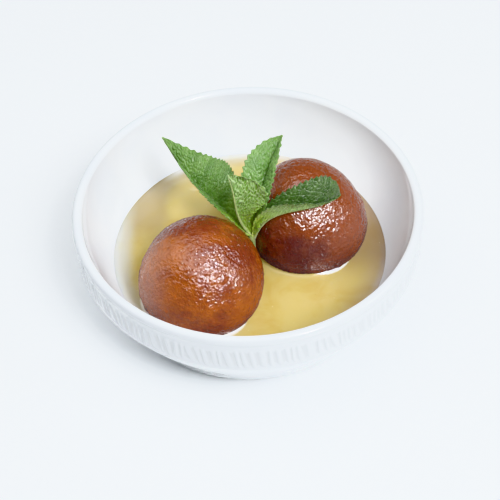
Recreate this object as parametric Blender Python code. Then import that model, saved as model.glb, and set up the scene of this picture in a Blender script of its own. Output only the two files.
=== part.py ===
"""Gulab jamun: two fried milk balls in sugar syrup, in a small fluted porcelain bowl, with a sprig of mint."""

import math

import bmesh
import bpy
from mathutils import Vector

MM = 0.001

# The bowl, in millimetres. It stands on the floor at height 0 with its axis on the origin.
RIM_CENTRE_RADIUS = 62.0
RIM_THICKNESS = 3.7
RIM_CENTRE_HEIGHT = 41.2
BAND_RADIUS = 64.1
FLUTE_TOP = 39.4
FLUTE_BOTTOM = 29.6
FLUTE_DEPTH = 0.5
FLUTE_COUNT = 150
SHOULDER_HEIGHT = 28.6
FOOT_TAPER_RADIUS = 50.2
FOOT_TAPER_HEIGHT = 3.4
FOOT_OUTER_RADIUS = 47.6
FOOT_INNER_RADIUS = 42.0
FOOT_RECESS = 1.0
FLOOR_HEIGHT = 4.4
BOWL_COLUMNS = 60

# The syrup reaches this height, and touching pieces keep this gap.
SYRUP_LEVEL = 16.9
GAP = 0.3

# Each ball: its centre, and its lumps and dents as (azimuth, elevation, spread in degrees, height in mm).
BALL_RADIUS = 22.6
BALLS = {
    "gulab_jamun_front": {
        "centre": (-17.9, -20.9, 25.7),
        "lumps": ((-55, -5, 34, 0.8), (150, 20, 30, -0.6), (60, 62, 26, 0.4), (-160, -20, 30, 0.3)),
        "colour": (0.42, 0.09, 0.012),
    },
    "gulab_jamun_back": {
        "centre": (21.5, 6.2, 25.7),
        "lumps": ((-20, -18, 32, 1.1), (15, 38, 34, -0.8), (100, 60, 30, 0.4), (-120, 0, 30, -0.3)),
        "colour": (0.26, 0.045, 0.012),
    },
}

# The mint: a stem held between the balls, and four leaves, folded along their midribs.
STEM_FOOT = (2.0, -7.6, 20.6)
STEM_TOP = (1.2, -6.3, 30.6)
STEM_RADIUS = 0.9
LEAF_THICKNESS = 0.7
LEAF_STEPS = 9
HALF_STEPS = 2
STALK_WIDTH = 0.9
# Each leaf: its midrib's four guide points, the way its right half points when it is laid flat, and for each
# half its greatest width, where along the leaf that is, how many degrees it folds up at stem and tip, and how
# slender it is: under 1 gives a blunt tip, over 1 a long thin one.
LEAVES = {
    "left": {
        "midrib": ((0.9, -6.5, 31.2), (-14.4, 10.6, 38.2), (-18.1, 10.2, 33.9), (-30.6, 27.9, 50.5)),
        "side": (0.74, 0.67, 0.13),
        "left": (6.1, 0.39, 50, 77, 0.77),
        "right": (14.6, 0.52, 40, 23, 0.88),
    },
    "back": {
        "midrib": ((1.4, -5.6, 31.4), (3.2, -2.5, 43.7), (7.5, 6.8, 51.9), (13.8, 18.2, 57.6)),
        "side": (0.96, -0.29, -0.08),
        "left": (9.7, 0.64, 23, 26, 0.84),
        "right": (7.5, 0.46, 54, 61, 0.77),
    },
    "front": {
        "midrib": ((1.0, -6.2, 31.7), (-6.0, -4.0, 40.5), (-2.8, -6.4, 47.5), (-6.6, 0.5, 56.5)),
        "side": (-0.98, 0.21, 0.0),
        "left": (12.6, 0.70, 6, 7, 0.95),
        "right": (5.5, 0.50, 80, 80, 0.80),
    },
    "right": {
        "midrib": ((1.7, -6.9, 30.8), (7.2, -6.1, 49.8), (22.6, -12.4, 45.9), (33.8, -1.0, 45.1)),
        "side": (-0.15, -0.99, -0.11),
        "left": (11.7, 0.79, 62, 59, 0.40),
        "right": (7.9, 0.47, 91, 62, 1.37),
    },
}


def clear_scene():
    for thing in list(bpy.data.objects):
        bpy.data.objects.remove(thing, do_unlink=True)


def make_material(name, colour, roughness):
    material = bpy.data.materials.new(name)
    material.use_nodes = True
    shader = material.node_tree.nodes["Principled BSDF"]
    shader.inputs["Base Color"].default_value = (*colour, 1.0)
    shader.inputs["Roughness"].default_value = roughness
    material.diffuse_color = (*colour, 1.0)
    return material


def make_object(name, bm, material):
    """Turns a bmesh in millimetres into a closed, smooth-shaded object in metres."""
    bmesh.ops.recalc_face_normals(bm, faces=bm.faces)
    bmesh.ops.scale(bm, vec=(MM, MM, MM), verts=bm.verts)
    mesh = bpy.data.meshes.new(name)
    bm.to_mesh(mesh)
    bm.free()
    mesh.shade_smooth()
    mesh.set_sharp_from_angle(angle=math.radians(25))
    mesh.materials.append(material)
    thing = bpy.data.objects.new(name, mesh)
    bpy.context.scene.collection.objects.link(thing)
    return thing


def arc(centre, radius, start, end, steps):
    """Points on an arc in the (radius, height) plane, with angles in degrees."""
    points = []
    for step in range(steps + 1):
        angle = math.radians(start + (end - start) * step / steps)
        points.append((centre[0] + radius * math.cos(angle), centre[1] + radius * math.sin(angle)))
    return points


def bezier(guides, amount):
    """A point on the cubic curve of four guide points."""
    near = 1 - amount
    weights = (near**3, 3 * near * near * amount, 3 * near * amount * amount, amount**3)
    total = Vector((0.0,) * len(guides[0]))
    for weight, guide in zip(weights, guides):
        total += weight * Vector(guide)
    return total


def inner_profile(offset=0.0):
    """The bowl's inside from the rim to the centre as (radius, height), moved inwards by an offset."""
    rim_inside = RIM_CENTRE_RADIUS - RIM_THICKNESS / 2
    wall = ((rim_inside, RIM_CENTRE_HEIGHT), (59.6, 33.0), (55.6, 22.5), (51.1, 16.9))
    corner = ((51.1, 16.9), (46.6, 11.3), (42.5, FLOOR_HEIGHT), (34.0, FLOOR_HEIGHT))
    points = [bezier(wall, step / 4) for step in range(4)]
    points += [bezier(corner, step / 4) for step in range(5)]
    moved = []
    for index, point in enumerate(points):
        before = points[max(index - 1, 0)]
        after = points[min(index + 1, len(points) - 1)]
        along = (after - before).normalized()
        moved.append(point + offset * Vector((along.y, -along.x)))
    return moved


def outer_profile():
    """The bowl's outside from the rim's top to the foot's recess, without the fluted band."""
    rim = arc((RIM_CENTRE_RADIUS, RIM_CENTRE_HEIGHT), RIM_THICKNESS / 2, 90, 0, 3)
    above = [(BAND_RADIUS - 0.05, RIM_CENTRE_HEIGHT - 1.0)]
    taper = ((BAND_RADIUS, SHOULDER_HEIGHT), (59.6, 20.4), (54.9, 11.8), (FOOT_TAPER_RADIUS, FOOT_TAPER_HEIGHT))
    below = [tuple(bezier(taper, step / 3)) for step in range(4)]
    foot = [(FOOT_OUTER_RADIUS + 1.2, 1.4), (FOOT_OUTER_RADIUS, 0.0), (FOOT_INNER_RADIUS, 0.0)]
    recess = [(FOOT_INNER_RADIUS - 1.2, FOOT_RECESS)]
    return rim + above, below, foot + recess


def ring(bm, radius, height, columns):
    verts = []
    for column in range(columns):
        angle = 2 * math.pi * column / columns
        verts.append(bm.verts.new((radius * math.cos(angle), radius * math.sin(angle), height)))
    return verts


def skin(bm, upper, lower):
    """Quads between two rings of the same number of points."""
    count = len(upper)
    for column in range(count):
        after = (column + 1) % count
        bm.faces.new((upper[column], lower[column], lower[after], upper[after]))


def cap(bm, loop, height):
    centre = bm.verts.new((0.0, 0.0, height))
    count = len(loop)
    for column in range(count):
        bm.faces.new((centre, loop[column], loop[(column + 1) % count]))


def flute_ring(bm, height, lean):
    """A ring with a ridge and a groove for each flute, uneven in width and depth as if cut by hand."""
    verts = []
    points = 2 * FLUTE_COUNT
    for index in range(points):
        flute = index // 2
        shift = 0.24 * math.sin(2.3 * flute) + 0.16 * math.sin(5.1 * flute + 1.0)
        angle = 2 * math.pi * (index + shift + lean * (1 + math.sin(0.8 * flute))) / points
        depth = FLUTE_DEPTH * (0.8 + 0.2 * math.sin(3.7 * flute)) if index % 2 else 0.0
        radius = BAND_RADIUS - depth
        verts.append(bm.verts.new((radius * math.cos(angle), radius * math.sin(angle), height)))
    return verts


def fan(bm, plain, fluted):
    """Closes the step between a plain ring and a fluted one that has several points for each of its columns."""
    count = len(plain)
    share = len(fluted) // count
    for column in range(count):
        after = (column + 1) % count
        chain = [fluted[(column * share + step) % len(fluted)] for step in range(share + 1)]
        bm.faces.new([plain[column]] + chain + [plain[after]])


def build_bowl():
    bm = bmesh.new()
    above, below, under = outer_profile()
    rings = [ring(bm, radius, height, BOWL_COLUMNS) for radius, height in above]
    for upper, lower in zip(rings, rings[1:]):
        skin(bm, upper, lower)
    top = flute_ring(bm, FLUTE_TOP, 0.0)
    bottom = flute_ring(bm, FLUTE_BOTTOM, 0.35)
    fan(bm, rings[-1], top)
    skin(bm, top, bottom)
    lower_rings = [ring(bm, radius, height, BOWL_COLUMNS) for radius, height in below + under]
    fan(bm, lower_rings[0], bottom)
    for upper, lower in zip(lower_rings, lower_rings[1:]):
        skin(bm, upper, lower)
    cap(bm, lower_rings[-1], FOOT_RECESS)
    rim_inner = arc((RIM_CENTRE_RADIUS, RIM_CENTRE_HEIGHT), RIM_THICKNESS / 2, 90, 180, 3)[1:-1]
    inside = rim_inner + [tuple(point) for point in inner_profile()]
    inner_rings = [rings[0]] + [ring(bm, radius, height, BOWL_COLUMNS) for radius, height in inside]
    for upper, lower in zip(inner_rings, inner_rings[1:]):
        skin(bm, upper, lower)
    cap(bm, inner_rings[-1], FLOOR_HEIGHT)
    bmesh.ops.triangulate(bm, faces=[face for face in bm.faces if len(face.verts) > 4])
    return make_object("bowl", bm, make_material("porcelain", (0.87, 0.89, 0.91), 0.15))


def ball_point(direction, ball, grow):
    """Where a ball's surface lies in a direction: round above, pressed flatter below, with soft lumps."""
    radius = BALL_RADIUS
    for azimuth, elevation, spread, height in ball["lumps"]:
        level = math.cos(math.radians(elevation))
        towards = Vector((
            level * math.sin(math.radians(azimuth + 90)),
            -level * math.cos(math.radians(azimuth + 90)),
            math.sin(math.radians(elevation)),
        ))
        away = direction.angle(towards) / math.radians(spread)
        radius += height * math.exp(-away * away)
    centre = Vector(ball["centre"])
    under = (centre.z - FLOOR_HEIGHT - GAP) / radius
    squash = under if direction.z < 0 else 1.0
    point = Vector((direction.x, direction.y, direction.z * squash)) * radius
    return centre + point + direction * grow


def ball_mesh(ball, grow=0.0):
    bm = bmesh.new()
    bmesh.ops.create_icosphere(bm, subdivisions=4, radius=1.0)
    for vert in bm.verts:
        vert.co = ball_point(vert.co.normalized(), ball, grow)
    return bm


def build_balls():
    made = []
    for name, ball in BALLS.items():
        material = make_material(name + "_crust", ball["colour"], 0.35)
        made.append(make_object(name, ball_mesh(ball), material))
    return made


def cut_away(body, cutter):
    cutter.hide_render = True
    cutter.display_type = "WIRE"
    boolean = body.modifiers.new("cut_round_" + cutter.name, "BOOLEAN")
    boolean.operation = "DIFFERENCE"
    boolean.solver = "EXACT"
    boolean.object = cutter


def build_syrup():
    """The syrup fills the bowl up to its level and is cut round both balls."""
    bm = bmesh.new()
    profile = inner_profile(GAP)
    outline = [point for point in profile if point.y < SYRUP_LEVEL - 0.2]
    above = profile[len(profile) - len(outline) - 1]
    share = (SYRUP_LEVEL - outline[0].y) / (above.y - outline[0].y)
    edge = outline[0].lerp(above, share)
    rings = [ring(bm, point.x, point.y, BOWL_COLUMNS) for point in [edge] + outline]
    for upper, lower in zip(rings, rings[1:]):
        skin(bm, upper, lower)
    cap(bm, rings[-1], FLOOR_HEIGHT + GAP)
    cap(bm, rings[0], SYRUP_LEVEL)
    syrup = make_object("syrup", bm, make_material("sugar_syrup", (0.78, 0.62, 0.22), 0.08))
    for name, ball in BALLS.items():
        cutter_material = syrup.data.materials[0]
        cutter = make_object("space_of_" + name, ball_mesh(ball, GAP + 0.1), cutter_material)
        cut_away(syrup, cutter)
    return syrup


def half_width(amount, widest, peak, slender):
    """How wide a half leaf is at an amount of its length: narrow stalk, full belly, tip."""
    rise = math.log(0.5) / math.log(peak)
    belly = math.sin(math.pi * amount**rise) ** slender if 0 < amount < 1 else 0.0
    return STALK_WIDTH * (1 - 0.75 * amount) + (widest - STALK_WIDTH) * belly


def leaf_row(leaf, amount):
    """Points across a leaf at an amount of its length: its inner face, then its outer face backwards."""
    guides = leaf["midrib"]
    rib = bezier(guides, amount)
    along = (bezier(guides, min(amount + 0.01, 1.0)) - bezier(guides, max(amount - 0.01, 0.0))).normalized()
    side = Vector(leaf["side"])
    across = (side - side.dot(along) * along).normalized()
    upward = across.cross(along)
    inner, outer = [], []
    thickness = LEAF_THICKNESS * (1 - 0.5 * amount)
    for index in range(-HALF_STEPS, HALF_STEPS + 1):
        turn = -1 if index < 0 else 1
        widest, peak, fold_at_stem, fold_at_tip, slender = leaf["left" if index < 0 else "right"]
        share = abs(index) / HALF_STEPS
        fold = math.radians(fold_at_stem + (fold_at_tip - fold_at_stem) * amount) if index else 0.0
        reach = half_width(amount, widest, peak, slender) * share
        point = rib + reach * (turn * math.cos(fold) * across + math.sin(fold) * upward)
        outward = turn * math.sin(fold) * across - math.cos(fold) * upward
        inner.append(point)
        outer.append(point + thickness * outward)
    return inner + outer[::-1]


def leaf_mesh(leaf):
    """A folded leaf with a thickness, as one closed shell."""
    bm = bmesh.new()
    loops = []
    for step in range(LEAF_STEPS + 1):
        loops.append([bm.verts.new(point) for point in leaf_row(leaf, step / LEAF_STEPS)])
    for lower, upper in zip(loops, loops[1:]):
        skin(bm, upper, lower)
    for loop in (loops[0], loops[-1]):
        half = len(loop) // 2
        for index in range(half - 1):
            bm.faces.new((loop[index], loop[index + 1], loop[-index - 2], loop[-index - 1]))
    return bm


def stem_mesh():
    """A tapering round stem with a knob at its top, where the leaves join."""
    bm = bmesh.new()
    foot, top = Vector(STEM_FOOT), Vector(STEM_TOP)
    turn = (top - foot).to_track_quat("Z", "Y")
    rings = []
    stations = ((0.0, 0.7), (0.5, 0.9), (0.8, 1.0), (0.93, 1.3), (1.0, 1.5), (1.06, 1.5), (1.16, 1.0))
    for amount, breadth in stations:
        loop = []
        for column in range(10):
            angle = 2 * math.pi * column / 10
            spoke = Vector((math.cos(angle), math.sin(angle), 0.0)) * (breadth * STEM_RADIUS)
            loop.append(bm.verts.new(foot + (top - foot) * amount + turn @ spoke))
        rings.append(loop)
    for lower, upper in zip(rings, rings[1:]):
        skin(bm, upper, lower)
    bm.faces.new(rings[0])
    bm.faces.new(rings[-1])
    return bm


def build_mint():
    """The leaves are joined to the stem, because a sprig is one piece."""
    material = make_material("mint_leaf", (0.14, 0.30, 0.07), 0.5)
    sprig = make_object("mint_sprig", stem_mesh(), material)
    for name, leaf in LEAVES.items():
        blade = make_object("blade_" + name, leaf_mesh(leaf), material)
        blade.hide_render = True
        blade.display_type = "WIRE"
        join = sprig.modifiers.new("join_" + name, "BOOLEAN")
        join.operation = "UNION"
        join.solver = "EXACT"
        join.object = blade
    return sprig


def main():
    clear_scene()
    build_bowl()
    build_balls()
    build_syrup()
    build_mint()


main()
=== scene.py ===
"""Looks for a bowl of gulab jamun in sugar syrup with a sprig of mint, laid out as a Blender add-on."""

import math

import bmesh
import bpy
from bpy.props import FloatProperty, FloatVectorProperty, IntProperty, PointerProperty
from mathutils import Matrix, Vector


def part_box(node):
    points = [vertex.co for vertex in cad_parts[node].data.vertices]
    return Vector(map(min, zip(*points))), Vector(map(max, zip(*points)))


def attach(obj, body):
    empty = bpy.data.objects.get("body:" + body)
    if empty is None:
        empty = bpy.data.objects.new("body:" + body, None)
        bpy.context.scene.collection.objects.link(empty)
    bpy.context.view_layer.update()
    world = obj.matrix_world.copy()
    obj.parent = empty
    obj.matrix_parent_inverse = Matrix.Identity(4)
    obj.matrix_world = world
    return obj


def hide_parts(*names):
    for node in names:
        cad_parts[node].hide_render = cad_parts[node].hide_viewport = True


bl_info = {
    "name": "Gulab Jamun Bowl",
    "version": (1, 0, 0),
    "blender": (4, 5, 0),
    "location": "View3D > Sidebar > Dessert",
    "description": "A porcelain bowl of gulab jamun in sugar syrup with a sprig of mint",
    "category": "Add Mesh",
}

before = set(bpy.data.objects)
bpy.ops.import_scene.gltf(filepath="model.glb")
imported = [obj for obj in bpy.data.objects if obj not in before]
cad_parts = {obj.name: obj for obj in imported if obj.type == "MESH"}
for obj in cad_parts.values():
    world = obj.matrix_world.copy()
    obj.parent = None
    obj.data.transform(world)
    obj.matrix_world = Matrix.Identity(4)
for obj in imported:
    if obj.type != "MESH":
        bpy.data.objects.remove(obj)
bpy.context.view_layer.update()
_, BOWL_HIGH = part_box("bowl")
_, SYRUP_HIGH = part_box("syrup")

MM = 0.001
BOWL_RADIUS = BOWL_HIGH.x
BOWL_HEIGHT = BOWL_HIGH.z
RIM_RADIUS = 1.85 * MM
RIM_CENTRE = (BOWL_RADIUS - 2.1 * MM, BOWL_HEIGHT - RIM_RADIUS)
WALL_TURN = (BOWL_RADIUS - 13.0 * MM, 16.9 * MM)
FLOOR_RADIUS = 34.0 * MM
FLOOR_HEIGHT = 4.4 * MM
BAND_TOP = 38.2 * MM
BAND_BOTTOM = 28.0 * MM
FOOT_RADIUS = 47.6 * MM
FOOT_INNER_RADIUS = 42.0 * MM
FOOT_RECESS = 1.0 * MM
BAND_RADIUS = BOWL_RADIUS - 0.62 * MM

# Each ball:
#   node, slot: what it replaces in the CAD, and the name of its slot.
#   centre: its middle. seed: shifts its patterns.
#   lumps: soft swellings and hollows, as (azimuth, elevation, spread in degrees, height in mm).
#   shade_side, shade_top: directions in which painted shade darkens its crust; the longer they are, the more
#       it darkens.
#   painted_sheen: how strong the painted sheen on its left is, a pale reflection put into its colour. gloss:
#       index of refraction of its wet skin.
#   highlight_crescents: painted highlights, pale lines where syrup climbs it, as (azimuth, spread in degrees,
#       width in mm, strength).
#   grain: height of its finest bumps, in mm.
BALL_RADIUS = 22.6 * MM
BALLS = {
    "gulab_jamun_light": {
        "node": "gulab_jamun_front",
        "slot": "light_crust",
        "centre": Vector((-17.9, -20.9, 25.7)) * MM,
        "lumps": ((-55, -5, 34, 0.8), (150, 20, 30, -0.6), (60, 62, 26, 0.4), (-160, -20, 30, 0.3)),
        "shade_side": (-0.30, -0.85, -0.30),
        "shade_top": (0.28, 1.00, 0.90),
        "painted_sheen": 0.42,
        "gloss": 1.80,
        "highlight_crescents": ((-62, 23, 1.8, 1.0), (190, 32, 2.4, 0.5)),
        "grain": 0.36,
        "seed": 3.0,
    },
    "gulab_jamun_dark": {
        "node": "gulab_jamun_back",
        "slot": "dark_crust",
        "centre": Vector((21.5, 6.2, 25.7)) * MM,
        "lumps": ((-20, -18, 32, 1.1), (15, 38, 34, -0.8), (100, 60, 30, 0.4), (-120, 0, 30, -0.3)),
        "shade_side": (-0.60, -0.70, -0.80),
        "shade_top": (-0.60, -0.70, -0.80),
        "painted_sheen": 0.0,
        "gloss": 1.95,
        "highlight_crescents": ((-61, 23, 1.6, 1.0),),
        "grain": 0.30,
        "seed": 11.0,
    },
}

# The mint, in millimetres. Each leaf:
#   midrib: its four guide points. side: the way its right half points when it is laid flat.
#   left, right: for each half its greatest width, where along the leaf that is, how many degrees it folds up
#     at stem and tip, and how slender it is.
#   tone, under: shares of red, green and blue for its upper and lower side, which hold painted light and
#       shade as well as the leaf's own tone.
#   net: how clearly the fine veins show below. relief: how strongly it puffs up between its veins.
STEM_FOOT = Vector((2.0, -7.6, 20.6))
STEM_TOP = Vector((1.2, -6.3, 30.6))
LEAVES = {
    "left": {
        "midrib": ((0.9, -6.5, 31.2), (-14.4, 10.6, 38.2), (-18.1, 10.2, 33.9), (-30.6, 27.9, 50.5)),
        "side": (0.74, 0.67, 0.13),
        "left": (6.1, 0.39, 50, 77, 0.77),
        "right": (14.6, 0.52, 40, 23, 0.88),
        "tone": (1.22, 1.12, 1.25),
        "under": (1.1, 1.1, 1.1),
        "net": 0.6,
        "relief": 1.0,
    },
    "back": {
        "midrib": ((1.4, -5.6, 31.4), (3.2, -2.5, 43.7), (7.5, 6.8, 51.9), (13.8, 18.2, 57.6)),
        "side": (0.96, -0.29, -0.08),
        "left": (9.7, 0.64, 23, 26, 0.84),
        "right": (7.5, 0.46, 54, 61, 0.77),
        "tone": (1.45, 1.3, 1.7),
        "under": (1.0, 1.0, 1.0),
        "net": 0.6,
        "relief": 1.0,
    },
    "front": {
        "midrib": ((1.0, -6.2, 31.7), (-6.0, -4.0, 40.5), (-2.8, -6.4, 47.5), (-6.6, 0.5, 56.5)),
        "side": (-0.98, 0.21, 0.0),
        "left": (12.6, 0.70, 6, 7, 0.95),
        "right": (5.5, 0.50, 80, 80, 0.80),
        "tone": (1.1, 1.1, 0.9),
        "under": (1.35, 1.3, 1.3),
        "net": 0.9,
        "relief": 1.0,
    },
    "right": {
        "midrib": ((1.7, -6.9, 30.8), (7.2, -6.1, 49.8), (22.6, -12.4, 45.9), (33.8, -1.0, 45.1)),
        "side": (-0.15, -0.99, -0.11),
        "left": (11.7, 0.79, 62, 59, 0.40),
        "right": (6.6, 0.47, 91, 62, 1.37),
        "tone": (0.55, 0.53, 0.65),
        "under": (2.9, 2.4, 4.8),
        "net": 0.45,
        "relief": 0.5,
    },
}
STALK_WIDTH = 0.9


# ---- settings


def length_setting(name, description, default):
    return FloatProperty(name=name, description=description, default=default, unit="LENGTH", precision=5)


def angle_setting(name, description, degrees):
    return FloatProperty(name=name, description=description, default=math.radians(degrees), subtype="ANGLE")


def number_setting(name, description, default):
    return FloatProperty(name=name, description=description, default=default)


def colour_setting(name, description, default):
    return FloatVectorProperty(name=name, description=description, default=default, subtype="COLOR")


class BowlSettings(bpy.types.PropertyGroup):
    flute_count: IntProperty(name="Flutes", description="Flutes round the band", default=146, min=12)
    flute_depth: length_setting("Flute depth", "How far a flute stands out", 0.34 * MM)
    flute_lean: number_setting("Flute lean", "How far the flutes lean, in flute widths", 1.6)
    glaze: colour_setting("Glaze", "Colour of the porcelain", (0.85, 0.872, 0.89))


class BallSettings(bpy.types.PropertyGroup):
    wrinkle_size: length_setting("Wrinkle size", "Distance between wrinkles", 2.1 * MM)
    wrinkle_height: length_setting("Wrinkle height", "Height of the wrinkles", 0.28 * MM)
    light_crust: colour_setting("Light crust", "Bright patches of the lighter ball", (0.365, 0.102, 0.014))
    light_shade: colour_setting("Light shade", "Dark patches of the lighter ball", (0.185, 0.038, 0.016))
    dark_crust: colour_setting("Dark crust", "Bright patches of the darker ball", (0.232, 0.058, 0.018))
    dark_shade: colour_setting("Dark shade", "Dark patches of the darker ball", (0.100, 0.020, 0.017))


class SyrupSettings(bpy.types.PropertyGroup):
    level: length_setting("Level", "Height of the syrup", SYRUP_HIGH.z)
    rise: length_setting("Rise", "How far the syrup climbs what it touches", 1.3 * MM)
    deep: colour_setting("Deep syrup", "Colour where the syrup is deep", (0.54, 0.43, 0.165))
    shallow: colour_setting("Shallow syrup", "Colour where the bowl shows through", (0.46, 0.41, 0.29))


class MintSettings(bpy.types.PropertyGroup):
    tooth_pitch: length_setting("Tooth pitch", "Distance between the teeth of a leaf's edge", 2.1 * MM)
    vein_pitch: length_setting("Vein pitch", "Distance between side veins", 3.9 * MM)
    thickness: length_setting("Thickness", "Thickness of a leaf", 0.32 * MM)
    face: colour_setting("Leaf face", "Colour of the upper side", (0.125, 0.24, 0.050))
    underside: colour_setting("Underside", "Colour of the lower side", (0.15, 0.255, 0.050))
    vein: colour_setting("Veins", "Colour of the veins", (0.33, 0.45, 0.20))


class StageSettings(bpy.types.PropertyGroup):
    camera_distance: length_setting("Camera distance", "From the camera to its aim", 0.422)
    camera_elevation: angle_setting("Camera elevation", "How steeply the camera looks down", 48.69)
    camera_roll: angle_setting("Camera roll", "How far the camera is turned about its view", 2.66)
    lens: number_setting("Lens", "Focal length", 86.4)
    key_power: number_setting("Key light", "Power of the soft main light, which does not shine", 6.2)
    sparkle_power: number_setting("Sparkle", "Power of the small light that only shines in surfaces", 10.0)
    side_power: number_setting("Side light", "Power of the low light from the right", 2.2)
    fill_power: number_setting("Fill light", "Power of the broad lights above and around", 14.0)
    sky_power: number_setting("Sky light", "Strength of the even light", 0.10)
    light_tint: colour_setting("Light tint", "Colour of the lights", (0.955, 0.98, 1.0))


# ---- nodes


def add_node(tree, kind, inputs=None, **settings):
    """A node with its settings. An input is linked to a socket that it is given, or set to a value."""
    node = tree.nodes.new(kind)
    for name, value in settings.items():
        setattr(node, name, value)
    for name, value in (inputs or {}).items():
        if isinstance(value, bpy.types.NodeSocket):
            tree.links.new(value, node.inputs[name])
        else:
            node.inputs[name].default_value = value
    return node


def tree_of(*values):
    """The tree of the first socket among some values."""
    return next(value.id_data for value in values if isinstance(value, bpy.types.NodeSocket))


def calc(operation, *values):
    """One Math node; returns its result."""
    inputs = dict(enumerate(values))
    return add_node(tree_of(*values), "ShaderNodeMath", inputs, operation=operation).outputs[0]


def plus(first, second):
    return calc("ADD", first, second)


def minus(first, second):
    return calc("SUBTRACT", first, second)


def times(first, *others):
    """The product of two or more values, two at a time."""
    for other in others:
        first = calc("MULTIPLY", first, other)
    return first


def vector_calc(operation, first, second=None, scale=None):
    """One Vector Math node; returns its vector, or its value where it gives one."""
    inputs = {0: first}
    if second is not None:
        inputs[1] = second
    if scale is not None:
        inputs["Scale"] = scale
    node = add_node(tree_of(first), "ShaderNodeVectorMath", inputs, operation=operation)
    return node.outputs["Value" if operation in ("LENGTH", "DISTANCE", "DOT_PRODUCT") else "Vector"]


def split(vector):
    return add_node(tree_of(vector), "ShaderNodeSeparateXYZ", {0: vector}).outputs


def join_axes(x, y, z=0.0):
    return add_node(tree_of(x), "ShaderNodeCombineXYZ", {0: x, 1: y, 2: z}).outputs[0]


def smooth_step(value, low, high, to_low=0.0, to_high=1.0):
    """Goes smoothly from one value to another while its input goes from low to high."""
    inputs = {"Value": value, "From Min": low, "From Max": high, "To Min": to_low, "To Max": to_high}
    return add_node(tree_of(value), "ShaderNodeMapRange", inputs, interpolation_type="SMOOTHSTEP").outputs[0]


def noise(vector, size, detail=2.0, roughness=0.5, distortion=0.0):
    """Soft noise between 0 and 1 whose blobs are about the given size in metres."""
    inputs = {"Vector": vector, "Scale": 1.0 / size, "Detail": detail}
    inputs.update({"Roughness": roughness, "Distortion": distortion})
    return add_node(tree_of(vector), "ShaderNodeTexNoise", inputs).outputs[0]


def cells(vector, size, inputs=None, **settings):
    """A Voronoi node whose cells are about the given size in metres."""
    inputs = {"Vector": vector, "Scale": 1.0 / size, **(inputs or {})}
    return add_node(tree_of(vector), "ShaderNodeTexVoronoi", inputs, **settings).outputs


def scaled(colour, shares):
    """A colour with a share of each of its channels."""
    return tuple(channel * share for channel, share in zip(colour, shares))


def mix_colours(share, first, second, blend="MIX"):
    tree = tree_of(share, first, second)
    node = add_node(tree, "ShaderNodeMix", data_type="RGBA", blend_type=blend)
    for index, value in ((0, share), (6, first), (7, second)):
        if isinstance(value, bpy.types.NodeSocket):
            tree.links.new(value, node.inputs[index])
        elif index:
            node.inputs[index].default_value = (*value[:3], 1.0)
        else:
            node.inputs[index].default_value = value
    return node.outputs[2]


def tinged(base, colour):
    """A colour that is darkened or warmed by another."""
    return mix_colours(1.0, base, colour, "MULTIPLY")


def shifted(place, seed):
    """A place moved by a seed, so that two pieces do not share a pattern."""
    return vector_calc("ADD", place, join_axes(seed, seed, seed))


def new_group(kind, name, inputs, outputs):
    """A node group with named inputs and outputs; returns the tree, its input node and its output node."""
    tree = bpy.data.node_groups.new(name, kind)
    for way, sockets in (("INPUT", inputs), ("OUTPUT", outputs)):
        for socket_name, socket_type in sockets:
            tree.interface.new_socket(name=socket_name, in_out=way, socket_type="NodeSocket" + socket_type)
    return tree, tree.nodes.new("NodeGroupInput").outputs, tree.nodes.new("NodeGroupOutput").inputs


def sockets_of(kind, *names):
    return [(name, kind) for name in names]


def shape_tree(name, *numbers):
    """A Geometry Nodes tree that takes a mesh, a finish and the named numbers."""
    sockets = [("Geometry", "Geometry"), ("Finish", "Material")] + sockets_of("Float", *numbers)
    tree, given, result = new_group("GeometryNodeTree", name, sockets, [("Geometry", "Geometry")])
    tree.is_modifier = True
    return tree, given, result


def end_shape(tree, geometry, offset, given, result):
    """Ends a tree in geometry moved by an offset, made real and given its finish."""
    moved = add_node(tree, "GeometryNodeSetPosition", {"Geometry": geometry, "Offset": offset})
    real = add_node(tree, "GeometryNodeRealizeInstances", {0: moved.outputs[0]})
    finish = {"Geometry": real.outputs[0], "Material": given["Finish"]}
    finished = add_node(tree, "GeometryNodeSetMaterial", finish)
    tree.links.new(finished.outputs[0], result["Geometry"])


def point_value(tree, name):
    """A number stored at each point of the mesh, for a material."""
    return add_node(tree, "ShaderNodeAttribute", attribute_name=name).outputs["Fac"]


def run_tree(thing, tree, **values):
    """Runs a tree on a piece and keeps the plain mesh that it gives."""
    modifier = thing.modifiers.new(tree.name, "NODES")
    modifier.node_group = tree
    for item in tree.interface.items_tree:
        if item.in_out == "INPUT" and item.name in values:
            modifier[item.identifier] = values[item.name]
    graph = bpy.context.evaluated_depsgraph_get()
    evaluated = thing.evaluated_get(graph)
    mesh = bpy.data.meshes.new_from_object(evaluated, preserve_all_data_layers=True, depsgraph=graph)
    thing.modifiers.clear()
    mesh.name = thing.name
    thing.data = mesh
    mesh.shade_smooth()


def new_finish(name, colour, roughness, **settings):
    """A material; returns it with its tree and its Principled shader."""
    material = bpy.data.materials.new(name)
    material.use_nodes = True
    tree = material.node_tree
    shader = tree.nodes["Principled BSDF"]
    shader.inputs["Base Color"].default_value = (*colour, 1.0)
    shader.inputs["Roughness"].default_value = roughness
    for name_of_input, value in settings.items():
        shader.inputs[name_of_input.replace("_", " ")].default_value = value
    return material, tree, shader


def object_place(tree):
    return tree.nodes.new("ShaderNodeTexCoord").outputs["Object"]


def add_bump(tree, shader, height, distance, strength=1.0):
    bump = add_node(tree, "ShaderNodeBump", {"Height": height, "Distance": distance, "Strength": strength})
    tree.links.new(bump.outputs[0], shader.inputs["Normal"])


# ---- meshes


def add_object(name, data):
    thing = bpy.data.objects.new(name, data)
    bpy.context.scene.collection.objects.link(thing)
    return thing


def make_piece(name, bm, finish):
    """Turns a bmesh into a smooth piece of the scene."""
    mesh = bpy.data.meshes.new(name)
    bm.to_mesh(mesh)
    bm.free()
    mesh.shade_smooth()
    mesh.materials.append(finish)
    return add_object(name, mesh)


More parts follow.
